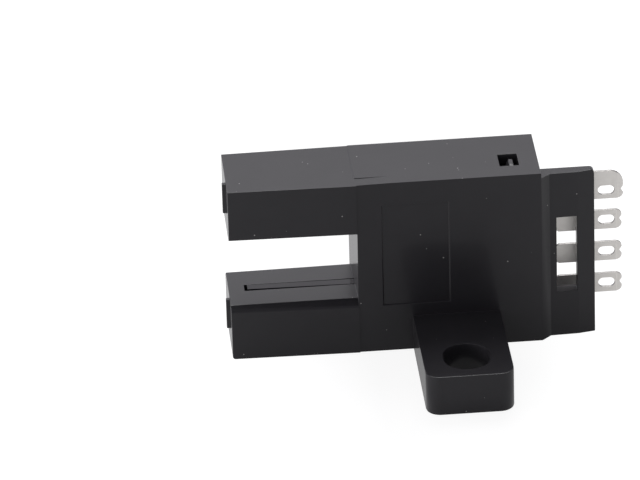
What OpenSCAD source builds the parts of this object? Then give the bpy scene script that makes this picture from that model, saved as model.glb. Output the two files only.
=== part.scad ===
// Slotted optical switch: a moulded fork with a light barrier across its slot,
// a one-hole fixing tab, a rear latch plate and four flat solder or plug terminals.
// All sizes are in millimetres. X runs from the fork tips to the terminals,
// Y from the tab side to the back, Z up from the face the switch sits on.

/* [Case] */
// Length of the case from the fork tips to the rear face
body_len = 21.72; // [20:0.02:26]
// Depth of the case, tab side to back
body_depth = 6.0; // [5.6:0.1:8]
// Height of the case
body_h = 13.2; // [12.8:0.1:16]
// General wall thickness of the moulding
wall = 0.8; // [0.6:0.05:1]
// How far the body's tab-side face lies behind the roots of the fork arms
body_relief = 0.08; // [0:0.01:0.15]
// Width of the plain strip beside the raised area on the top face
top_strip_w = 1.04; // [0.6:0.02:1.3]
// How far the raised area starts ahead of the slot's end
top_panel_lead = 0.15; // [0:0.05:0.5]
// Length of the raised area's sloped front edge
top_ramp = 0.12; // [0.05:0.01:0.3]
// Length over which the plain strip rises level with the raised area
top_fade = 2.4; // [1:0.1:4]
// How far the raised area stands above the arms
top_step = 0.04; // [0.02:0.01:0.1]

/* [Fork] */
// Clear gap of the sensing slot
slot_gap = 5.0; // [4.6:0.1:6]
// Depth of the sensing slot from the tips
slot_depth = 8.9; // [8:0.1:10]
// How much nearer to the tips the slot's end lies on the far side
slot_end_draft = 0.14; // [0:0.01:0.3]
// How far the slot's middle lies below the case's middle
slot_drop = 0.05; // [0:0.01:0.2]
// Narrowing of each arm side from root to tip
tip_draft = 0.12; // [0:0.01:0.2]
// Slot edge chamfer measured across the arm on the tab side
slot_cham_near = 0.65; // [0.2:0.05:0.8]
// Slot edge chamfer measured across the arm on the far side
slot_cham_far = 0.5; // [0.2:0.05:0.7]
// Slot edge chamfer measured down the arm side
slot_cham_z = 0.35; // [0.2:0.05:0.5]
// Narrowing of the lower arm's tab-side chamfer from root to tip
slot_cham_taper = 0.1; // [0:0.01:0.16]
// Wall between an arm's hollow and the slot
slot_wall = 0.7; // [0.5:0.05:0.9]
// Wall at the arm tips
tip_wall = 0.9; // [0.7:0.05:1.1]
// Distance of the small upright pad on each arm tip from the tab side
tip_pad_y = 1.75; // [0.8:0.05:2]
// Width of the tip pads
tip_pad_w = 0.35; // [0.2:0.05:0.8]
// Height of the tip pads
tip_pad_h = 2.25; // [1.6:0.05:2.6]
// How far the tip pads stand proud
tip_pad_proud = 0.25; // [0.05:0.05:0.3]
// How far the tip pads end below the top of their arms
tip_pad_drop = 0.2; // [0.05:0.01:0.4]
// Radius of the edge under the lower arm's tip
heel_r = 0.2; // [0.1:0.05:0.4]

/* [Light slits] */
// Start of each slit, measured from the tips
slit_start = 1.13; // [1:0.01:2]
// Width of each slit
slit_w = 0.84; // [0.6:0.02:1]
// Gap at the front end of the window rib
rib_gap_front = 0.21; // [0.05:0.01:0.3]
// Gap on the tab side of the rib at its front end
rib_gap_near = 0.2; // [0.1:0.01:0.35]
// Gap on the tab side of the rib at its back end
rib_gap_root = 0.04; // [0.02:0.01:0.2]
// Gap on the far side of the rib at its front end
rib_gap_slim = 0.02; // [0.01:0.01:0.06]
// Gap on the far side of the rib at its back end
rib_gap_far = 0.1; // [0.02:0.01:0.15]
// Gap behind the rib's back end
rib_gap_back = 0.04; // [0.02:0.01:0.08]
// How far the rib's face lies below the arm's inner face
rib_sink = 0.01; // [0.01:0.01:0.15]
// Flange thickness of each window bar
window_t = 0.5; // [0.3:0.05:0.7]
// Flange width of each window bar
window_w = 2.2; // [1.8:0.1:3]
// Gap between the flange and the wall at the arm's tip
window_gap = 0.08; // [0.05:0.01:0.2]

/* [Name panel] */
// Start of the blank sunk panel, measured from the tips
panel_x = 10.65; // [10:0.05:11]
// Length of the sunk panel
panel_len = 4.58; // [3:0.02:6]
// Height of the panel's lower edge
panel_z = 3.62; // [3.3:0.02:4.5]
// Distance of the panel's upper edge below the top face
panel_top = 1.72; // [1:0.02:3]
// Depth of the panel
panel_sink = 0.1; // [0.02:0.01:0.12]

/* [Fixing tab] */
// Start of the tab, measured from the fork tips
tab_x = 12.65; // [11.5:0.05:14]
// Width of the tab
tab_w = 6.1; // [5.4:0.05:7]
// Reach of the tab from the body's face
tab_reach = 9.5; // [8.8:0.1:11]
// Tab thickness at its front
tab_front_h = 3.0; // [2.7:0.05:3.4]
// Tab thickness at its root
tab_root_h = 2.65; // [2.4:0.05:3]
// Radius of the tab's front corners
tab_corner_r = 1.0; // [0.4:0.1:1.4]
// Width of the oblong screw hole
hole_w = 3.2; // [2.8:0.1:3.4]
// Overall length of the oblong screw hole
hole_len = 3.8; // [3.6:0.1:4.6]
// Distance of the hole's centre from the body's face
hole_reach = 6.6; // [6:0.05:7]

/* [Latch plate] */
// Length of the latch plate behind the rear face
plate_len = 3.78; // [3.4:0.02:5]
// How far the latch plate's top lies below the top face
plate_drop = 0.4; // [0.3:0.02:1]
// How far the plate's root lies behind the body's face
plate_set = 0.6; // [0.3:0.02:0.75]
// How far the plate lies behind the body's face at the start of its lead-in
plate_lead_set = 0.68; // [0.4:0.02:0.8]
// How far the plate's end lies behind the body's face
plate_end_set = 0.9; // [0.6:0.02:1.1]
// Distance of the plate's back from the body's face
plate_back = 1.5; // [1.2:0.05:1.7]
// Length of the sloped step down to the plate
plate_slope_len = 0.64; // [0.3:0.02:0.8]
// Length of the lead-in at the plate's end
plate_lead_len = 1.15; // [0.6:0.05:1.2]
// Radius of the plate's top outer corner
plate_corner_r = 0.3; // [0.2:0.05:0.8]
// Start of the latch window behind the rear face
latch_start = 1.1; // [0.9:0.02:1.3]
// Length of the latch window
latch_len = 1.42; // [1:0.02:1.6]
// How far the latch window's middle lies below the case's middle
latch_drop = 0.2; // [0:0.01:0.5]
// Height of the latch window
latch_h = 5.86; // [4:0.02:7]

/* [Terminal holder] */
// Length of the holder inside the rear opening
holder_len = 2.7; // [2.4:0.05:3.2]
// Clearance between the holder and the case
holder_clear = 0.05; // [0.02:0.01:0.1]
// How far the holder's rear face lies inside the case
holder_sink = 0.1; // [0:0.05:0.3]
// Distance of the snap window from the rear face
snap_from_rear = 1.37; // [1:0.01:1.6]
// Length of the snap window
snap_len = 1.34; // [1.1:0.02:1.4]
// Width of the snap window
snap_w = 1.7; // [1.4:0.05:2.2]
// Length of the snap hook in its window
hook_len = 0.6; // [0.4:0.05:0.65]
// Width of the snap hook in its window
hook_w = 1.1; // [0.7:0.05:1.3]
// Depth of the hook's top below the top face
hook_sink = 0.1; // [0.05:0.05:0.4]
// Distance of the snap hook from the rear side of its window
hook_set = 0.35; // [0.05:0.05:0.4]

/* [Terminals] */
// Thickness of the terminal strip
term_t = 0.2; // [0.15:0.05:0.4]
// Pitch of the three narrow terminals
term_pitch = 2.5; // [2.4:0.02:2.6]
// How far the lowest terminal's centre lies below the case's middle
term_drop = 3.88; // [3.7:0.01:4]
// Width of the narrow terminals
term_w = 1.5; // [1.2:0.02:1.7]
// Height of the wide terminal's lower edge above the case's middle
wide_rise = 2.76; // [2.7:0.02:2.9]
// Width of the wide terminal
wide_w = 2.18; // [1.8:0.02:2.4]
// Reach of the terminals behind the case's rear face
term_reach = 5.92; // [5:0.02:7]
// Extra reach of the wide terminal
wide_extra = 0.12; // [0:0.02:0.3]
// Radius of the terminal tip corners
term_tip_r = 0.42; // [0.2:0.02:0.5]
// Radius of the wide terminal's upper tip corner
wide_tip_r = 0.95; // [0.4:0.05:1.1]
// Width of the small notch in each tip
notch_w = 0.56; // [0.3:0.02:0.6]
// Depth of the small notch in each tip
notch_d = 0.17; // [0.05:0.01:0.22]
// Length of the oblong wire hole
eye_len = 1.16; // [0.9:0.02:1.3]
// Width of the oblong wire hole
eye_w = 0.7; // [0.5:0.02:0.8]
// Distance of the wire hole's outer end from the narrow terminals' tips
eye_edge = 0.5; // [0.4:0.02:0.7]
// Height of the wire hole above the lower edge of the wide terminal
wide_eye_z = 0.68; // [0.6:0.02:0.9]
// Narrowing of each side at the terminal's neck
neck_in = 0.18; // [0.1:0.02:0.3]
// Distance of the neck's shoulder behind the case's rear face
neck_len = 1.5; // [1.2:0.05:1.7]
// Length of the sloped shoulder
shoulder_len = 0.3; // [0.1:0.05:0.4]
// Length of the terminal's tail on the circuit board
tail_len = 2.2; // [1.5:0.1:3]

/* [Electronics] */
// Thickness of the circuit board
board_t = 0.8; // [0.6:0.1:1]
// Gap from the circuit board to the case and holder
board_gap = 0.2; // [0.1:0.05:0.4]
// Length of the emitter and receiver packages
package_len = 3.0; // [2.5:0.1:4]
// Width of the emitter and receiver packages
package_w = 2.4; // [2:0.1:3]
// Gap between the packages and the outer walls of the arms
package_gap = 0.25; // [0.1:0.05:0.4]
// Start of the packages, measured from the tips
package_x = 3.2; // [2.5:0.1:4]
// Thickness of the package leads
lead_t = 0.25; // [0.15:0.05:0.3]
// Width of the package leads as a share of the package's height
lead_w_share = 0.22; // [0.16:0.01:0.26]
// Pitch of the emitter's leads as a share of the package's height
lead_pitch_share = 0.4; // [0.3:0.01:0.6]
// Pitch of the receiver's leads as a share of the package's height
receiver_pitch_share = 0.32; // [0.3:0.01:0.35]
// Length of a lead's end on the circuit board
lead_land = 1.3; // [0.8:0.1:2]
// Length of the chip resistor
resistor_len = 1.6; // [1:0.1:2]
// Width of the chip resistor
resistor_w = 0.8; // [0.5:0.1:1.2]
// Thickness of the chip resistor
resistor_t = 0.45; // [0.3:0.05:0.6]
// Length of the output transistor's body
transistor_len = 2.9; // [2:0.1:3]
// Width of the output transistor's body
transistor_w = 1.3; // [1:0.1:1.6]
// Thickness of the output transistor's body
transistor_t = 1.0; // [0.8:0.1:1.2]
// Length of the transistor's leads above and below its body
transistor_foot = 0.55; // [0.3:0.05:0.7]
// Width of the transistor's leads
transistor_lead_w = 0.4; // [0.3:0.05:0.5]
// Thickness of the transistor's leads
transistor_lead_t = 0.15; // [0.1:0.05:0.2]
// Distance of the transistor's outer leads from its ends
transistor_lead_in = 0.3; // [0.1:0.05:0.5]
// How far the transistor's centre lies below the case's middle
transistor_drop = 1.3; // [0.8:0.1:1.6]
// Height of the resistor's lower edge above the case's middle
resistor_rise = 2.1; // [1.6:0.1:2.3]
// Distance of the small components behind the package leads
component_gap = 0.6; // [0.4:0.1:1.2]

/* [Hidden] */
$fn = 64;
// Run-out of cutting shapes
e = 1;
// Overlap of shapes that are joined into one
lap = 0.1;
mid_z = body_h / 2;
lower_arm_h = mid_z - slot_drop - slot_gap / 2;
slot_z0 = lower_arm_h;
slot_z1 = lower_arm_h + slot_gap;
mid_y = body_depth / 2;
slot_far_x = slot_depth - slot_end_draft;
end_wall_x = slot_depth + wall;
term_tip = body_len + term_reach;
wide_tip = term_tip + wide_extra;
plate_end = body_len + plate_len;
holder_x = body_len - holder_len - holder_sink;
term_y = mid_y - term_t / 2;
board_y = mid_y + term_t / 2;
board_x0 = end_wall_x + board_gap;
board_x1 = holder_x - board_gap;
board_z0 = wall + board_gap;
board_z1 = body_h - wall - board_gap;
slit_y0 = mid_y - slit_w / 2;
low_flange_z = slot_z0 - slot_wall - window_t;
package_h = low_flange_z - wall - package_gap;
lead_w = package_h * lead_w_share;
lead_pitch = package_h * lead_pitch_share;
receiver_lead_step = package_h * receiver_pitch_share;
plate_h = body_h - plate_drop;
panel_h = body_h - panel_top - panel_z;
latch_z = mid_z - latch_drop - latch_h / 2;
term_z = mid_z - term_drop;
wide_z = mid_z + wide_rise;
transistor_z = mid_z - transistor_drop;
resistor_z = mid_z + resistor_rise;
up_flange_z = slot_z1 + slot_wall;
rib_end = end_wall_x - rib_gap_back;
frame_x = (wide_tip - tip_pad_proud) / 2;
frame_y = (body_depth - tab_reach) / 2;
draft_angle = atan((tip_draft + body_relief) / slot_depth);
far_angle = atan(tip_draft / slot_depth);
plastic = [0.06, 0.06, 0.065];
tin = [0.74, 0.73, 0.71];
smoke = [0.16, 0.05, 0.08];
green = [0.1, 0.32, 0.18];
white_ceramic = [0.8, 0.8, 0.78];

// Which sub-part to draw
// Names of all sub-parts

// Moves the working axes to the middle of the footprint
module place()
{
    translate([-frame_x, -frame_y, 0])
    children();
}

// A box given by its low and high corners
module span(a, b)
{
    translate(a)
    cube(b - a);
}

// A plan outline raised from z0 to z1
module rise(pts, z0, z1)
{
    translate([0, 0, z0])
    linear_extrude(z1 - z0)
    polygon(pts);
}

// A side outline given as [y, z] points and run from x0 to x1
module run_x(pts, x0, x1)
{
    translate([x0, 0, 0])
    rotate([90, 0, 90])
    linear_extrude(x1 - x0)
    polygon(pts);
}

// The main block, tapering from the slot's end towards the tips
module main_block()
{
    rise([
        [0, tip_draft],
        [slot_depth, -body_relief],
        [slot_depth, 0],
        [body_len, 0],
        [body_len, body_depth],
        [slot_depth, body_depth],
        [0, body_depth - tip_draft]
    ], 0, body_h);
}

// The sensing slot with its chamfered edges
module slot_cut()
{
    intersection()
    {
        union()
        {
            span([-2 * e, -2 * e, slot_z0], [slot_depth + e, body_depth + 2 * e, slot_z1]);
            translate([slot_depth, -body_relief, 0])
            rotate([0, 0, -draft_angle])
            edge_pair(1, slot_cham_near, atan(slot_cham_taper / slot_depth));
            translate([slot_depth, body_depth, 0])
            rotate([0, 0, far_angle])
            edge_pair(-1, slot_cham_far, 0);
        }
        rise([
            [-e, -e],
            [slot_depth, -e],
            [slot_depth, 0],
            [slot_far_x, body_depth],
            [slot_far_x, body_depth + e],
            [-e, body_depth + e]
        ], 0, body_h);
    }
}

// The lower chamfer, tilted to narrow towards the tip, and the upper chamfer on one side
module edge_pair(s, across, tilt)
{
    translate([0, 0, slot_z0])
    rotate([0, tilt, 0])
    run_x([
        [2 * s * across, slot_cham_z],
        [-s * across, -2 * slot_cham_z],
        [-s * across, slot_cham_z]
    ], -slot_depth - 2 * e, e);
    run_x([
        [2 * s * across, slot_z1 - slot_cham_z],
        [-s * across, slot_z1 + 2 * slot_cham_z],
        [-s * across, slot_z1 - slot_cham_z]
    ], -slot_depth - 2 * e, e);
}

// Hollow of the body and both arms, open at the rear
module hollow()
{
    arm_y0 = wall + tip_draft;
    arm_y1 = body_depth - wall - tip_draft;
    far_y = body_depth - wall;
    top_z = body_h - wall;
    span([end_wall_x, wall, wall], [holder_x, far_y, top_z]);
    span([holder_x - lap, plate_back, wall], [body_len + e, far_y, top_z]);
    span([tip_wall, arm_y0, wall], [end_wall_x + lap, arm_y1, slot_z0 - slot_wall]);
    span([tip_wall, arm_y0, up_flange_z], [end_wall_x + lap, arm_y1, top_z]);
}

// The long light slits in the arms' facing walls
module slits()
{
    y1 = slit_y0 + slit_w;
    x1 = end_wall_x + lap;
    span([slit_start, slit_y0, slot_z0 - slot_wall - lap], [x1, y1, slot_z0]);
    span([slit_start, slit_y0, slot_z0 - lap], [slot_far_x, y1, slot_z0 + lap]);
    span([slit_start, slit_y0, slot_z1], [x1, y1, up_flange_z + lap]);
    span([slit_start, slit_y0, slot_z1 - lap], [slot_far_x, y1, slot_z1 + lap]);
}

// A small upright pad on the end of an arm whose top is at height arm_top
module tip_pad(arm_top)
{
    z1 = arm_top - tip_pad_drop;
    span([-tip_pad_proud, tip_pad_y, z1 - tip_pad_h], [tip_wall / 2, tip_pad_y + tip_pad_w, z1]);
}

// Lowers the top from the tips to the raised area, as far as y1, and slopes back up
module top_cut(slope_len, y1)
{
    xa = slot_depth - top_panel_lead;
    translate([0, y1, 0])
    rotate([90, 0, 0])
    linear_extrude(y1 + e)
    polygon([
        [-e, body_h - top_step],
        [xa, body_h - top_step],
        [xa + slope_len, body_h],
        [xa + slope_len, body_h + e],
        [-e, body_h + e]
    ]);
}

// Rounds the edge under the lower arm's tip
module heel_cut()
{
    difference()
    {
        span([-e, -e, -e], [heel_r, body_depth + e, heel_r]);
        translate([heel_r, -2 * e, heel_r])
        rotate([-90, 0, 0])
        cylinder(r = heel_r, h = body_depth + 4 * e);
    }
}

// The fixing tab with rounded front corners and its oblong hole
module tab()
{
    tab_slope = (tab_front_h - tab_root_h) / tab_reach;
    plan_h = tab_front_h + 3 * e;
    difference()
    {
        intersection()
        {
            run_x([
                [-tab_reach - e, 0],
                [wall / 2, 0],
                [wall / 2, tab_root_h],
                [0, tab_root_h],
                [-tab_reach - e, tab_front_h + e * tab_slope]
            ], tab_x - e, tab_x + tab_w + e);
            translate([0, 0, -e])
            union()
            {
                span([tab_x, tab_corner_r - tab_reach, 0], [tab_x + tab_w, wall, plan_h]);
                span([tab_x + tab_corner_r, -tab_reach, 0],
                     [tab_x + tab_w - tab_corner_r, wall, plan_h]);
                translate([tab_x + tab_corner_r, tab_corner_r - tab_reach, 0])
                cylinder(r = tab_corner_r, h = plan_h);
                translate([tab_x + tab_w - tab_corner_r, tab_corner_r - tab_reach, 0])
                cylinder(r = tab_corner_r, h = plan_h);
            }
        }
        screw_hole();
    }
}

// Oblong hole for one fixing screw
module screw_hole()
{
    half = (hole_len - hole_w) / 2;
    cx = tab_x + tab_w / 2;
    translate([cx, -hole_reach - half, -e])
    cylinder(d = hole_w, h = tab_front_h + 2 * e);
    translate([cx, -hole_reach + half, -e])
    cylinder(d = hole_w, h = tab_front_h + 2 * e);
    span([cx - hole_w / 2, -hole_reach - half, -e],
         [cx + hole_w / 2, -hole_reach + half, tab_front_h + e]);
}

// Thin plate behind the case with the window a plug latches into
module latch_plate()
{
    difference()
    {
        rise([
            [body_len - wall, wall / 2],
            [body_len, 0],
            [body_len + plate_slope_len, plate_set],
            [plate_end - plate_lead_len, plate_lead_set],
            [plate_end, plate_end_set],
            [plate_end, plate_back],
            [body_len - wall, plate_back]
        ], 0, plate_h);
        span([body_len + latch_start, -e, latch_z],
             [body_len + latch_start + latch_len, plate_back + e, latch_z + latch_h]);
        difference()
        {
            span([plate_end - plate_corner_r, -e, plate_h - plate_corner_r],
                 [plate_end + e, plate_back + e, plate_h + e]);
            translate([plate_end - plate_corner_r, -2 * e, plate_h - plate_corner_r])
            rotate([-90, 0, 0])
            cylinder(r = plate_corner_r, h = plate_back + 4 * e);
        }
    }
}

// One-piece moulded case: fork, body, tab and latch plate
module case()
{
    snap_x1 = body_len - snap_from_rear;
    color(plastic)
    place()
    difference()
    {
        union()
        {
            main_block();
            tip_pad(lower_arm_h);
            tip_pad(body_h - top_step);
            tab();
            latch_plate();
        }
        slot_cut();
        hollow();
        slits();
        heel_cut();
        span([panel_x, -e, panel_z], [panel_x + panel_len, panel_sink, panel_z + panel_h]);
        top_cut(top_ramp, body_depth + e);
        top_cut(top_fade, top_strip_w);
        span([snap_x1 - snap_len, plate_back, body_h - wall - lap],
             [snap_x1, plate_back + snap_w, body_h + e]);
    }
}

// Moulded block that closes the rear, holds the terminals and snaps into the case
module terminal_holder()
{
    x1 = body_len - holder_sink;
    y0 = plate_back + holder_clear;
    z1 = body_h - wall - holder_clear;
    hook_x1 = body_len - snap_from_rear - hook_set;
    hook_z = body_h - hook_sink;
    color(plastic)
    place()
    difference()
    {
        union()
        {
            span([holder_x, y0, wall + holder_clear], [x1, body_depth - wall - holder_clear, z1]);
            translate([0, y0 + hook_w, 0])
            rotate([90, 0, 0])
            linear_extrude(hook_w)
            polygon([
                [hook_x1 - hook_len, z1 - lap],
                [hook_x1, z1 - lap],
                [hook_x1, hook_z],
                [hook_x1 - hook_len / 2, hook_z],
                [hook_x1 - hook_len, z1]
            ]);
        }
        for (i = [0 : 2])
        {
            span([holder_x - e, term_y, term_z + i * term_pitch - term_w / 2 + neck_in],
                 [x1 + e, term_y + term_t, term_z + i * term_pitch + term_w / 2 - neck_in]);
        }
        span([holder_x - e, term_y, wide_z + neck_in],
             [x1 + e, term_y + term_t, wide_z + wide_w - neck_in]);
    }
}

// A flat terminal with a neck, a wire hole and a notched tip
module terminal(z0, z1, tip, r_top, eye_z)
{
    y1 = term_y + term_t;
    x0 = holder_x - board_gap - tail_len;
    xs = body_len + neck_len;
    xe = tip - max(term_tip_r, r_top);
    color(tin)
    place()
    difference()
    {
        union()
        {
            span([x0, term_y, z0 + neck_in], [xs, y1, z1 - neck_in]);
            translate([0, y1, 0])
            rotate([90, 0, 0])
            linear_extrude(term_t)
            polygon([
                [xs - shoulder_len, z0 + neck_in],
                [xs, z0],
                [xe, z0],
                [xe, z1],
                [xs, z1],
                [xs - shoulder_len, z1 - neck_in]
            ]);
            span([xe - lap, term_y, z0 + term_tip_r], [tip, y1, z1 - r_top]);
            span([xe - lap, term_y, z0], [tip - term_tip_r, y1, z1 - r_top]);
            span([xe - lap, term_y, z0 + term_tip_r], [tip - r_top, y1, z1]);
            translate([tip - term_tip_r, y1, z0 + term_tip_r])
            rotate([90, 0, 0])
            cylinder(r = term_tip_r, h = term_t);
            translate([tip - r_top, y1, z1 - r_top])
            rotate([90, 0, 0])
            cylinder(r = r_top, h = term_t);
        }
        eye_cut(eye_z);
        translate([tip - notch_d, y1 + e, eye_z])
        rotate([90, 0, 0])
        linear_extrude(term_t + 2 * e)
        polygon([
            [0, 0],
            [2 * notch_d, -notch_w],
            [2 * notch_d, notch_w]
        ]);
    }
}

// Oblong wire hole near a terminal's tip
module eye_cut(eye_z)
{
    r = eye_w / 2;
    xa = term_tip - eye_edge - eye_len + r;
    xb = term_tip - eye_edge - r;
    y1 = term_y + term_t + e;
    translate([xa, y1, eye_z])
    rotate([90, 0, 0])
    cylinder(r = r, h = term_t + 2 * e);
    translate([xb, y1, eye_z])
    rotate([90, 0, 0])
    cylinder(r = r, h = term_t + 2 * e);
    span([xa, term_y - e, eye_z - r], [xb, y1, eye_z + r]);
}

// A narrow terminal, counted up from the lowest
module narrow_terminal(i)
{
    zc = term_z + i * term_pitch;
    terminal(zc - term_w / 2, zc + term_w / 2, term_tip, term_tip_r, zc);
}

// Wide top terminal
module terminal_supply()
{
    terminal(wide_z, wide_z + wide_w, wide_tip, wide_tip_r, wide_z + wide_eye_z);
}

// Second terminal from the top
module terminal_mode()
{
    narrow_terminal(2);
}

// Third terminal from the top
module terminal_output()
{
    narrow_terminal(1);
}

// Bottom terminal
module terminal_ground()
{
    narrow_terminal(0);
}

// Board that joins the terminals to the emitter and the receiver
module circuit_board()
{
    color(green)
    place()
    span([board_x0, board_y, board_z0], [board_x1, board_y + board_t, board_z1]);
}

// A window rib, which lies slightly askew in its slit
module window_rib(z0, z1)
{
    rise([
        [slit_start + rib_gap_front, slit_y0 + rib_gap_near],
        [rib_end, slit_y0 + rib_gap_root],
        [rib_end, slit_y0 + slit_w - rib_gap_far],
        [slit_start + rib_gap_front, slit_y0 + slit_w - rib_gap_slim]
    ], z0, z1);
}

// Infrared window bar of the upper arm
module emitter_window()
{
    color(smoke)
    place()
    union()
    {
        span([tip_wall + window_gap, mid_y - window_w / 2, up_flange_z],
             [rib_end, mid_y + window_w / 2, up_flange_z + window_t]);
        window_rib(slot_z1 + rib_sink, up_flange_z + lap);
    }
}

// Infrared window bar of the lower arm
module receiver_window()
{
    color(smoke)
    place()
    union()
    {
        span([tip_wall + window_gap, mid_y - window_w / 2, low_flange_z],
             [rib_end, mid_y + window_w / 2, low_flange_z + window_t]);
        window_rib(low_flange_z + window_t - lap, slot_z0 - rib_sink);
    }
}

// Package body on its window bar
module package(z0)
{
    place()
    span([package_x, mid_y - package_w / 2, z0],
         [package_x + package_len, mid_y + package_w / 2, z0 + package_h]);
}

// Flat lead from a package to the circuit board
module lead(zc)
{
    color(tin)
    place()
    span([package_x + package_len, board_y - lead_t, zc - lead_w / 2],
         [board_x0 + lead_land, board_y, zc + lead_w / 2]);
}

// Infrared emitting diode
module emitter()
{
    color(smoke)
    package(up_flange_z + window_t);
}

// Lead of the emitter nearest the top
module emitter_lead_anode()
{
    lead(up_flange_z + window_t + package_h / 2 + lead_pitch / 2);
}

// Lead of the emitter nearest the slot
module emitter_lead_cathode()
{
    lead(up_flange_z + window_t + package_h / 2 - lead_pitch / 2);
}

// Photo detector with its amplifier
module receiver()
{
    color(smoke)
    package(low_flange_z - package_h);
}

// Upper lead of the receiver
module receiver_lead_supply()
{
    lead(low_flange_z - package_h / 2 + receiver_lead_step);
}

// Middle lead of the receiver
module receiver_lead_output()
{
    lead(low_flange_z - package_h / 2);
}

// Lower lead of the receiver
module receiver_lead_ground()
{
    lead(low_flange_z - package_h / 2 - receiver_lead_step);
}

// Chip resistor that sets the emitter's current
module series_resistor()
{
    xa = board_x0 + lead_land + component_gap;
    color(white_ceramic)
    place()
    span([xa, board_y - resistor_t, resistor_z], [xa + resistor_len, board_y, resistor_z + resistor_w]);
}

// Transistor that drives the output terminal
module output_transistor()
{
    xa = board_x0 + lead_land + component_gap;
    xb = xa + transistor_len;
    za = transistor_z - transistor_w / 2;
    zb = transistor_z + transistor_w / 2;
    color(plastic)
    place()
    union()
    {
        span([xa, board_y - transistor_t, za], [xb, board_y, zb]);
        transistor_lead(xa + transistor_lead_in, za - transistor_foot, za + lap);
        transistor_lead(xb - transistor_lead_in - transistor_lead_w, za - transistor_foot, za + lap);
        transistor_lead((xa + xb - transistor_lead_w) / 2, zb - lap, zb + transistor_foot);
    }
}

// One flat lead of the transistor
module transistor_lead(x, z0, z1)
{
    span([x, board_y - transistor_lead_t, z0], [x + transistor_lead_w, board_y, z1]);
}

case();
terminal_holder();
terminal_supply();
terminal_mode();
terminal_output();
terminal_ground();
circuit_board();
emitter_window();
emitter();
emitter_lead_anode();
emitter_lead_cathode();
receiver_window();
receiver();
receiver_lead_supply();
receiver_lead_output();
receiver_lead_ground();
series_resistor();
output_transistor();
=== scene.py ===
from math import radians

import bmesh
import bpy
from mathutils import Matrix, Vector


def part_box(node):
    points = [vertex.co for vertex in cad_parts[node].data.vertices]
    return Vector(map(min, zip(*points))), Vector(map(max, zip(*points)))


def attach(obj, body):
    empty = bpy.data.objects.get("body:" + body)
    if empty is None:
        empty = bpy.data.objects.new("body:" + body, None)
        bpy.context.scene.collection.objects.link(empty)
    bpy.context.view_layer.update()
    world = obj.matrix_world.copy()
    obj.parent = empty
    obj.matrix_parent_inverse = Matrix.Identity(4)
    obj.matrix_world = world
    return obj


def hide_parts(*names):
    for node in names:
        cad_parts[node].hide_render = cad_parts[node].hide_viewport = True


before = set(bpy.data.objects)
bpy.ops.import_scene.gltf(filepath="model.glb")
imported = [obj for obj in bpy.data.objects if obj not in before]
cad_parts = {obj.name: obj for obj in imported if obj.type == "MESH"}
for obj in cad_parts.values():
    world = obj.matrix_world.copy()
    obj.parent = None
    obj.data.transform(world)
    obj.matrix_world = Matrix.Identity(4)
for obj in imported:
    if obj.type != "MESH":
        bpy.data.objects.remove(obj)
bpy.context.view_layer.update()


# Camera
# The switch was photographed from in front of its tab, a little above, through a long
# lens, so that its edges run almost parallel. The camera is turned slightly clockwise.
MM = 0.001
view_down = 28.587
view_turn = 4.143
view_roll = -1.638
view_distance = 473.4 * MM
view_aim = Vector((-7.348, 3.189, 8.317)) * MM
view_lens = 384.1
view_sensor = 36.0
view_end = 20.0

turn = (Matrix.Rotation(radians(-view_turn), 4, "Z")
        @ Matrix.Rotation(radians(90 - view_down), 4, "X")
        @ Matrix.Rotation(radians(view_roll), 4, "Z"))
camera = bpy.data.objects.new("photo_camera", bpy.data.cameras.new("photo_camera"))
camera.data.sensor_width = view_sensor
camera.data.lens = view_lens
camera.data.clip_end = view_end
camera.matrix_world = Matrix.Translation(view_aim + turn.to_3x3() @ Vector((0, 0, view_distance))) @ turn
bpy.context.scene.collection.objects.link(camera)
bpy.context.scene.camera = camera


# Case
# One injection moulding of black polyester: the fork, the body, the fixing tab and the
# latch plate. The polished mould leaves a glossy skin and edges eased by a few hundredths.
case_edge = 0.04 * MM
tab_edge = 0.1 * MM
rim_edge = 0.05 * MM
slot_edge = 0.22 * MM
panel_edge = 0.09 * MM
narrowest = 0.12 * MM
narrowest_panel = 0.05 * MM
body_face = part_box("case")[0].y + 9.5 * MM
body_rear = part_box("case")[1].x - 3.78 * MM
hole_middle = Vector((1.945, -4.85)) * MM
hole_reach = 2.1 * MM
lip_height = 3.75 * MM
lip_length = 5 * MM
panel_middle = Vector((-0.815, 7.55)) * MM
panel_half = Vector((2.29, 3.93)) * MM


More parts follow.
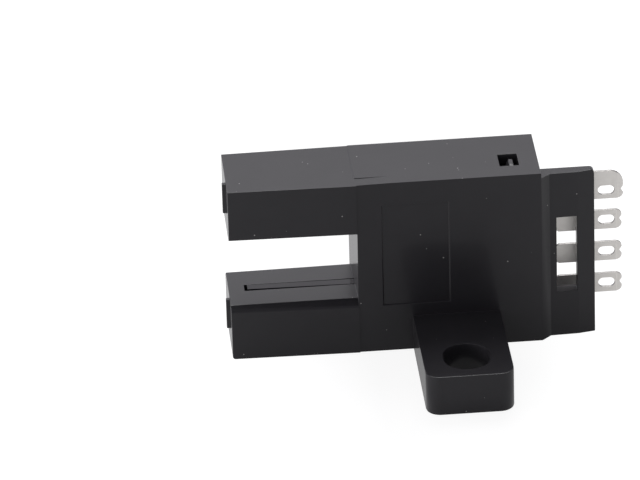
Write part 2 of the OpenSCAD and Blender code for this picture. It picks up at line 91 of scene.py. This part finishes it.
def eased_copy(node, name, passes):
    """A merged copy of a CAD node, standing in for the node, with its sharp edges rounded in
    passes of a radius, a number of segments, the narrowest face to touch and an edge test."""
    merge_gap = 0.002 * MM
    bevel_gap = 0.001 * MM
    flat_angle = radians(0.5)
    sharp_angle = radians(25)
    broad_face = 0.4 * MM
    ramp_face = 0.1 * MM

    def breadth(face):
        return 2 * face.calc_area() / sum(edge.calc_length() for edge in face.edges)

    def sloped(face):
        """Whether a face is the ramp on the top or the plate's lead-in, creased on all sides."""
        tilted = 0.94 < face.normal.z < 0.96 or 0.98 < -face.normal.y < 0.985
        return tilted and breadth(face) > ramp_face

    bm = bmesh.new()
    bm.from_mesh(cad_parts[node].data)
    bmesh.ops.remove_doubles(bm, verts=bm.verts, dist=merge_gap)
    bmesh.ops.dissolve_limit(bm, angle_limit=flat_angle, verts=bm.verts, edges=bm.edges)
    for radius, segments, least, wanted in passes:
        edges = []
        for edge in bm.edges:
            if edge.calc_face_angle() < sharp_angle:
                continue
            if min(face.calc_area() / edge.calc_length() for face in edge.link_faces) < least:
                continue
            if max(breadth(face) for face in edge.link_faces) < least:
                continue
            if wanted(edge):
                edges.append(edge)
        bmesh.ops.bevel(bm, geom=edges, offset=radius, offset_type="OFFSET", affect="EDGES",
                        segments=segments, profile=0.5, material=-1, clamp_overlap=False,
                        loop_slide=True)
        bmesh.ops.remove_doubles(bm, verts=bm.verts, dist=bevel_gap)

    # Two broad faces keep even a slight crease, level ones a small one, and bevels stay smooth.
    bm.normal_update()
    for face in bm.faces:
        face.smooth = True
    for edge in bm.edges:
        if all(breadth(face) > broad_face for face in edge.link_faces):
            crease = radians(3)
        elif all(face.normal.z > 0.94 for face in edge.link_faces):
            crease = radians(10)
        else:
            crease = radians(40)
        ramp = any(sloped(face) for face in edge.link_faces)
        edge.smooth = not ramp and edge.calc_face_angle() < crease

    mesh = bpy.data.meshes.new(name)
    bm.to_mesh(mesh)
    bm.free()
    piece = bpy.data.objects.new(name, mesh)
    bpy.context.scene.collection.objects.link(piece)
    even = piece.modifiers.new("flat_faces", "WEIGHTED_NORMAL")
    even.keep_sharp = True
    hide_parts(node)
    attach(piece, "root")
    return piece


def hex_colour(code):
    """An sRGB hex colour as linear RGBA."""
    parts = [int(code[i:i + 2], 16) / 255 for i in (1, 3, 5)]
    return [c / 12.92 if c <= 0.04045 else ((c + 0.055) / 1.055) ** 2.4 for c in parts] + [1.0]


def add(tree, kind, inputs, **settings):
    """Adds a node with its settings; an input that is a socket is linked, any other is set."""
    made = tree.nodes.new(kind)
    for name, value in settings.items():
        setattr(made, name, value)
    for name, value in inputs.items():
        if isinstance(value, bpy.types.NodeSocket):
            tree.links.new(value, made.inputs[name])
        else:
            made.inputs[name].default_value = value
    return made


def new_material(name):
    """A material with its emptied node tree and the object's own coordinates."""
    made = bpy.data.materials.new(name)
    made.use_nodes = True
    made.node_tree.nodes.clear()
    place = add(made.node_tree, "ShaderNodeTexCoord", {}).outputs["Object"]
    return made, made.node_tree, place


def surface(tree, inputs):
    """Ends a material's tree with one principled shader."""
    shader = add(tree, "ShaderNodeBsdfPrincipled", inputs)
    add(tree, "ShaderNodeOutputMaterial", {"Surface": shader.outputs["BSDF"]})


# Polyester filled with carbon black, moulded against polished steel: a neutral near-black.
# A clear skin, strongest at grazing angles, mirrors the surroundings a little unevenly, and
# a few grains of dust have settled on it.
flow_size = 2.5 * MM
flow_depth = 0.006 * MM
skin_size = 0.12 * MM
skin_depth = 0.0006 * MM
dust_apart = 1.1 * MM

polyester, tree, place = new_material("moulded_black_polyester")
flow = add(tree, "ShaderNodeTexNoise", {"Vector": place, "Scale": 1 / flow_size, "Detail": 2.0})
skin = add(tree, "ShaderNodeTexNoise", {"Vector": place, "Scale": 1 / skin_size, "Detail": 3.0})
tone = add(tree, "ShaderNodeMix", {0: flow.outputs["Fac"], 6: hex_colour("#2a292c"),
                                   7: hex_colour("#313033")}, data_type="RGBA")
grain = add(tree, "ShaderNodeTexVoronoi", {"Vector": place, "Scale": 1 / dust_apart}, feature="F1")
dust = add(tree, "ShaderNodeMapRange", {"Value": grain.outputs["Distance"], "From Min": 0.05,
                                        "From Max": 0.025, "To Min": 0.0, "To Max": 0.7})
dusted = add(tree, "ShaderNodeMix", {0: dust.outputs["Result"], 6: tone.outputs[2],
                                     7: hex_colour("#d2d0cc")}, data_type="RGBA")
gloss = add(tree, "ShaderNodeMapRange", {"Value": skin.outputs["Fac"], "To Min": 0.26, "To Max": 0.33})
dull = add(tree, "ShaderNodeMath", {0: gloss.outputs["Result"], 1: dust.outputs["Result"]},
           operation="MAXIMUM")
waves = add(tree, "ShaderNodeBump", {"Height": flow.outputs["Fac"], "Distance": flow_depth,
                                     "Strength": 1.0})
bumps = add(tree, "ShaderNodeBump", {"Height": skin.outputs["Fac"], "Distance": skin_depth,
                                     "Strength": 1.0, "Normal": waves.outputs["Normal"]})
surface(tree, {"Base Color": dusted.outputs[2], "Roughness": dull.outputs["Value"], "IOR": 1.36,
               "Normal": bumps.outputs["Normal"], "Coat Weight": 0.6, "Coat Roughness": 0.08,
               "Coat IOR": 1.2})


def on_rim(edge):
    """Whether an edge lies on a rim of the screw hole."""
    return all((vert.co.xy - hole_middle).length < hole_reach for vert in edge.verts)


def on_tab(edge):
    """Whether an edge lies on the outside of the fixing tab, in front of the body's face."""
    return all(vert.co.y < body_face - 0.1 * MM for vert in edge.verts) and not on_rim(edge)


def on_slot(edge):
    """Whether an edge is the lower one of the chamfer along the lower arm."""
    return edge.calc_length() > lip_length and all(
        abs(vert.co.z - lip_height) < 0.2 * MM and abs(vert.co.y - body_face) < 0.3 * MM
        for vert in edge.verts)


def on_rear(edge):
    """Whether an edge is the sharp upright one where the body's face meets the latch plate."""
    return all(abs(vert.co.x - body_rear) < 0.02 * MM and abs(vert.co.y - body_face) < 0.02 * MM
               for vert in edge.verts)


def on_panel(edge):
    """Whether an edge lies on the outline of the sunk panel in the body's face."""
    sides = [Vector((abs(vert.co.x - panel_middle.x), abs(vert.co.z - panel_middle.y))) - panel_half
             for vert in edge.verts]
    return (all(abs(vert.co.y - body_face) < 0.01 * MM for vert in edge.verts)
            and all(max(side) < 0.01 * MM for side in sides)
            and any(all(abs(side[axis]) < 0.01 * MM for side in sides) for axis in (0, 1)))


def on_rest(edge):
    """Whether an edge of the case is none of the special ones."""
    return not any(test(edge) for test in (on_slot, on_tab, on_rim, on_rear, on_panel))


case = eased_copy("case", "case_moulding", [
    (panel_edge, 2, narrowest_panel, on_panel), (slot_edge, 4, narrowest, on_slot),
    (tab_edge, 2, narrowest, on_tab), (rim_edge, 2, narrowest, on_rim),
    (case_edge, 2, narrowest, on_rest)])
case.data.materials.append(polyester)


# Terminal holder
# A second moulding of the same black polyester, pushed in from the rear, that closes the
# case, grips the four terminals and snaps into the small window in the top.
holder_edge = 0.04 * MM

holder = eased_copy("terminal_holder", "holder_moulding", [(holder_edge, 2, narrowest, lambda edge: True)])
holder.data.materials.append(polyester)


# Light windows
# Two bars of dark infrared-pass plastic behind the slits of the arms. Their polished ribs
# fill the slits and let the beam through, but look black to the eye.
streak_size = 0.6 * MM


def dress(nodes, material):
    """Gives CAD nodes that show as they are their material."""
    for node in nodes:
        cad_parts[node].data.materials.clear()
        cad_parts[node].data.materials.append(material)


# Polycarbonate with an infrared-pass dye: a deep violet black, faintly streaked, with a
# clean polish that mirrors more than the moulding round it.
infrared, tree, place = new_material("infrared_pass_polycarbonate")
streak = add(tree, "ShaderNodeTexNoise", {"Vector": place, "Scale": 1 / streak_size, "Detail": 2.0})
tint = add(tree, "ShaderNodeMix", {0: streak.outputs["Fac"], 6: hex_colour("#110e13"),
                                   7: hex_colour("#19151b")}, data_type="RGBA")
polish = add(tree, "ShaderNodeMapRange", {"Value": streak.outputs["Fac"], "To Min": 0.08, "To Max": 0.16})
surface(tree, {"Base Color": tint.outputs[2], "Roughness": polish.outputs["Result"], "IOR": 1.58})
dress(("emitter_window", "receiver_window"), infrared)


# Terminals
# Four strips stamped from 0.2 mm copper alloy and tinned, held in the holder's slots. The
# stamping rounds their edges, and their tips are coined thinner so that a plug slides on.
strip_edge = 0.03 * MM
coined_length = 0.4 * MM
coined_step = 0.08 * MM
coined_share = 0.6

# Rolled copper alloy with matt tin plating: a soft silvery white with fine lines from the
# rolls along the strip, and duller, darker edges where the punch sheared it.
roll_size = 0.09 * MM
roll_depth = 0.0015 * MM
roll_stretch = (0.12, 1.0, 1.0)
cloud_size = 0.9 * MM

tin, tree, place = new_material("tinned_copper_alloy")
along = add(tree, "ShaderNodeMapping", {"Vector": place, "Scale": roll_stretch})
rolled = add(tree, "ShaderNodeTexNoise", {"Vector": along.outputs["Vector"], "Scale": 1 / roll_size,
                                          "Detail": 3.0})
cloudy = add(tree, "ShaderNodeTexNoise", {"Vector": place, "Scale": 1 / cloud_size, "Detail": 3.0})
shade = add(tree, "ShaderNodeMix", {0: cloudy.outputs["Fac"], 6: hex_colour("#f0ede8"),
                                    7: hex_colour("#f8f5f1")}, data_type="RGBA")
facing = add(tree, "ShaderNodeSeparateXYZ", {0: add(tree, "ShaderNodeNewGeometry", {}).outputs["Normal"]})
flat = add(tree, "ShaderNodeMath", {0: facing.outputs["Y"]}, operation="ABSOLUTE")
plated = add(tree, "ShaderNodeMapRange", {"Value": flat.outputs["Value"], "From Min": 0.3, "From Max": 0.7})
metal = add(tree, "ShaderNodeMix", {0: plated.outputs["Result"], 6: hex_colour("#9c9a97"),
                                    7: shade.outputs[2]}, data_type="RGBA")
sheen = add(tree, "ShaderNodeMapRange", {"Value": rolled.outputs["Fac"], "To Min": 0.36, "To Max": 0.52})
lines = add(tree, "ShaderNodeBump", {"Height": rolled.outputs["Fac"], "Distance": roll_depth,
                                     "Strength": 1.0})
surface(tree, {"Base Color": metal.outputs[2], "Metallic": 1.0, "Roughness": sheen.outputs["Result"],
               "Normal": lines.outputs["Normal"]})

for node in ("terminal_supply", "terminal_mode", "terminal_output", "terminal_ground"):
    strip = eased_copy(node, node + "_strip", [(strip_edge, 2, narrowest, lambda edge: True)])
    low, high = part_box(node)
    middle = (low.y + high.y) / 2
    bm = bmesh.new()
    bm.from_mesh(strip.data)
    for station in (high.x - coined_length, high.x - coined_length + coined_step):
        made = bmesh.ops.bisect_plane(bm, geom=bm.verts[:] + bm.edges[:] + bm.faces[:], dist=0.0001 * MM,
                                      plane_co=(station, 0, 0), plane_no=(1, 0, 0))
        for crease in made["geom_cut"]:
            if isinstance(crease, bmesh.types.BMEdge):
                crease.smooth = False
    for vert in bm.verts:
        past = min(max((vert.co.x - high.x + coined_length) / coined_step, 0), 1)
        vert.co.y = middle + (vert.co.y - middle) * (1 - (1 - coined_share) * past)
    bm.to_mesh(strip.data)
    bm.free()
    strip.data.materials.append(tin)
dress(("emitter_lead_anode", "emitter_lead_cathode", "receiver_lead_supply", "receiver_lead_output",
       "receiver_lead_ground"), tin)


# Circuit board
# A thin glass-epoxy board with a green solder mask, soldered to the terminals and shut in
# the case.
weave_scale = 0.05 / (0.4 * MM)
weave_depth = 0.004 * MM

# Solder mask over glass cloth: a deep, even green with a slight gloss, in which the cloth's
# weave shows as faint diagonal bands.
mask, tree, place = new_material("green_solder_mask")
weave = add(tree, "ShaderNodeTexWave", {"Vector": place, "Scale": weave_scale, "Distortion": 0.5},
            bands_direction="DIAGONAL")
leaf = add(tree, "ShaderNodeMix", {0: weave.outputs["Fac"], 6: hex_colour("#1c5a38"),
                                   7: hex_colour("#236943")}, data_type="RGBA")
relief = add(tree, "ShaderNodeBump", {"Height": weave.outputs["Fac"], "Distance": weave_depth,
                                      "Strength": 1.0})
surface(tree, {"Base Color": leaf.outputs[2], "Roughness": 0.35, "Normal": relief.outputs["Normal"]})
dress(("circuit_board",), mask)


# Packages
# The emitter, the receiver and the output transistor are chips moulded in dark epoxy and
# soldered to the board.
pit_size = 0.05 * MM
pit_depth = 0.004 * MM

# Moulded epoxy: a dark reddish brown with the fine matt skin of an eroded mould.
epoxy, tree, place = new_material("moulded_dark_epoxy")
eroded = add(tree, "ShaderNodeTexNoise", {"Vector": place, "Scale": 1 / pit_size, "Detail": 3.0})
smoke = add(tree, "ShaderNodeMix", {0: eroded.outputs["Fac"], 6: hex_colour("#2b1a20"),
                                    7: hex_colour("#38242b")}, data_type="RGBA")
pits = add(tree, "ShaderNodeBump", {"Height": eroded.outputs["Fac"], "Distance": pit_depth,
                                    "Strength": 1.0})
surface(tree, {"Base Color": smoke.outputs[2], "Roughness": 0.55, "Normal": pits.outputs["Normal"]})
dress(("emitter", "receiver", "output_transistor"), epoxy)


# Series resistor
# A ceramic chip, cut from a fired alumina plate and soldered flat to the board above the
# transistor.
fired_size = 0.08 * MM

# Fired alumina: a matt chalky white with a faint grain.
alumina, tree, place = new_material("fired_alumina")
fired = add(tree, "ShaderNodeTexNoise", {"Vector": place, "Scale": 1 / fired_size, "Detail": 3.0})
chalk = add(tree, "ShaderNodeMix", {0: fired.outputs["Fac"], 6: hex_colour("#dcdbd6"),
                                    7: hex_colour("#e9e8e4")}, data_type="RGBA")
matt = add(tree, "ShaderNodeMapRange", {"Value": fired.outputs["Fac"], "To Min": 0.5, "To Max": 0.65})
surface(tree, {"Base Color": chalk.outputs[2], "Roughness": matt.outputs["Result"]})
dress(("series_resistor",), alumina)


# Studio
# A white table whose glow in mirror images is painted darker below the switch, as its
# shadow, and lighter to the sides, a soft lamp behind and above the switch, a fill from the
# left, and a white room with a faint violet cast that is brighter on the left and darkens
# overhead and behind the camera.
table_half = 2.0
table_height = -0.02 * MM
seen_share = 0.8
seen_boost = 0.6
mirrored_share = 0.6
# Painted shade of the switch on the table in mirror images: where the glow starts and stops rising, and its
# two levels.
shade_pool_from, shade_pool_to = 4 * MM, 16 * MM
mirrored_glow_shaded, mirrored_glow_lit = 0.52, 0.74
room_tilt, room_rise = 0.6, 0.75
room_dark, room_light, room_fade = 0.27, 0.76, 0.5
room_left, room_mean = -0.6, 1.03
lamps = (("lamp_back", (0.05, 0.4, 0.55), 0.4, 2.0), ("lamp_left", (-0.5, 0.05, 0.3), 0.4, 0.8))

bm = bmesh.new()
bmesh.ops.create_grid(bm, x_segments=1, y_segments=1, size=table_half)
bmesh.ops.translate(bm, verts=bm.verts, vec=(0, 0, table_height))
table_mesh = bpy.data.meshes.new("table")
bm.to_mesh(table_mesh)
bm.free()
table = bpy.data.objects.new("table", table_mesh)
bpy.context.scene.collection.objects.link(table)

# White paper: pure white to the camera but for the switch's soft shadow. In mirror images its
# glow is painted shade below the switch, standing in for the switch's shadow, and lighter to its sides.
paper, tree, place = new_material("white_table_paper")
path = add(tree, "ShaderNodeLightPath", {})
seen = add(tree, "ShaderNodeMath", {0: path.outputs["Is Camera Ray"], 1: seen_share}, operation="MULTIPLY")
mirrored = add(tree, "ShaderNodeMath", {0: path.outputs["Is Glossy Ray"],
                                        1: path.outputs["Is Transmission Ray"]}, operation="MAXIMUM")
glowing = add(tree, "ShaderNodeMath", {0: mirrored.outputs["Value"], 1: mirrored_share,
                                       2: seen.outputs["Value"]}, operation="MULTIPLY_ADD")
spot = add(tree, "ShaderNodeSeparateXYZ", {0: place})
aside = add(tree, "ShaderNodeMath", {0: spot.outputs["X"]}, operation="ABSOLUTE")
# Painted shade: the table's glow is lowest within a few millimetres of the switch's middle and highest to
# its sides.
painted_table_shade = add(tree, "ShaderNodeMapRange", {"Value": aside.outputs["Value"], "From Min": shade_pool_from,
                                          "From Max": shade_pool_to, "To Min": mirrored_glow_shaded,
                                          "To Max": mirrored_glow_lit})
strength = add(tree, "ShaderNodeMath", {0: path.outputs["Is Camera Ray"], 1: seen_boost,
                                        2: painted_table_shade.outputs["Result"]}, operation="MULTIPLY_ADD")
lit = add(tree, "ShaderNodeBsdfDiffuse", {"Color": hex_colour("#e6e6e6")})
white = add(tree, "ShaderNodeEmission", {"Color": hex_colour("#ffffff"),
                                         "Strength": strength.outputs["Value"]})
both = add(tree, "ShaderNodeMixShader", {0: glowing.outputs["Value"], 1: lit.outputs["BSDF"],
                                         2: white.outputs["Emission"]})
add(tree, "ShaderNodeOutputMaterial", {"Surface": both.outputs["Shader"]})
table_mesh.materials.append(paper)

for name, stand, size, watts in lamps:
    lamp = bpy.data.objects.new(name, bpy.data.lights.new(name, "AREA"))
    lamp.data.shape = "SQUARE"
    lamp.data.size = size
    lamp.data.energy = watts
    lamp.matrix_world = (Matrix.Translation(Vector(stand))
                         @ Vector(stand).to_track_quat("Z", "Y").to_matrix().to_4x4())
    bpy.context.scene.collection.objects.link(lamp)

room = bpy.data.worlds.new("white_room")
bpy.context.scene.world = room
room.use_nodes = True
tree = room.node_tree
tree.nodes.clear()
way = add(tree, "ShaderNodeSeparateXYZ", {0: add(tree, "ShaderNodeTexCoord", {}).outputs["Generated"]})
tilt = add(tree, "ShaderNodeMath", {0: way.outputs["Y"], 1: room_tilt, 2: room_rise},
           operation="MULTIPLY_ADD")
depth = add(tree, "ShaderNodeMath", {0: tilt.outputs["Value"], 1: way.outputs["Z"]}, operation="SUBTRACT")
glow = add(tree, "ShaderNodeMapRange", {"Value": depth.outputs["Value"], "From Min": 0.0,
                                        "From Max": room_fade, "To Min": room_dark,
                                        "To Max": room_light})
side = add(tree, "ShaderNodeMath", {0: way.outputs["X"], 1: room_left, 2: room_mean},
           operation="MULTIPLY_ADD")
wall = add(tree, "ShaderNodeMath", {0: glow.outputs["Result"], 1: side.outputs["Value"]},
           operation="MULTIPLY")
path = add(tree, "ShaderNodeLightPath", {})
level = add(tree, "ShaderNodeMath", {0: wall.outputs["Value"], 1: path.outputs["Is Camera Ray"]},
            operation="MAXIMUM")
sky = add(tree, "ShaderNodeBackground", {"Color": hex_colour("#faf8ff"), "Strength": level.outputs["Value"]})
add(tree, "ShaderNodeOutputWorld", {"Surface": sky.outputs["Background"]})

bpy.context.scene.view_settings.view_transform = "Standard"
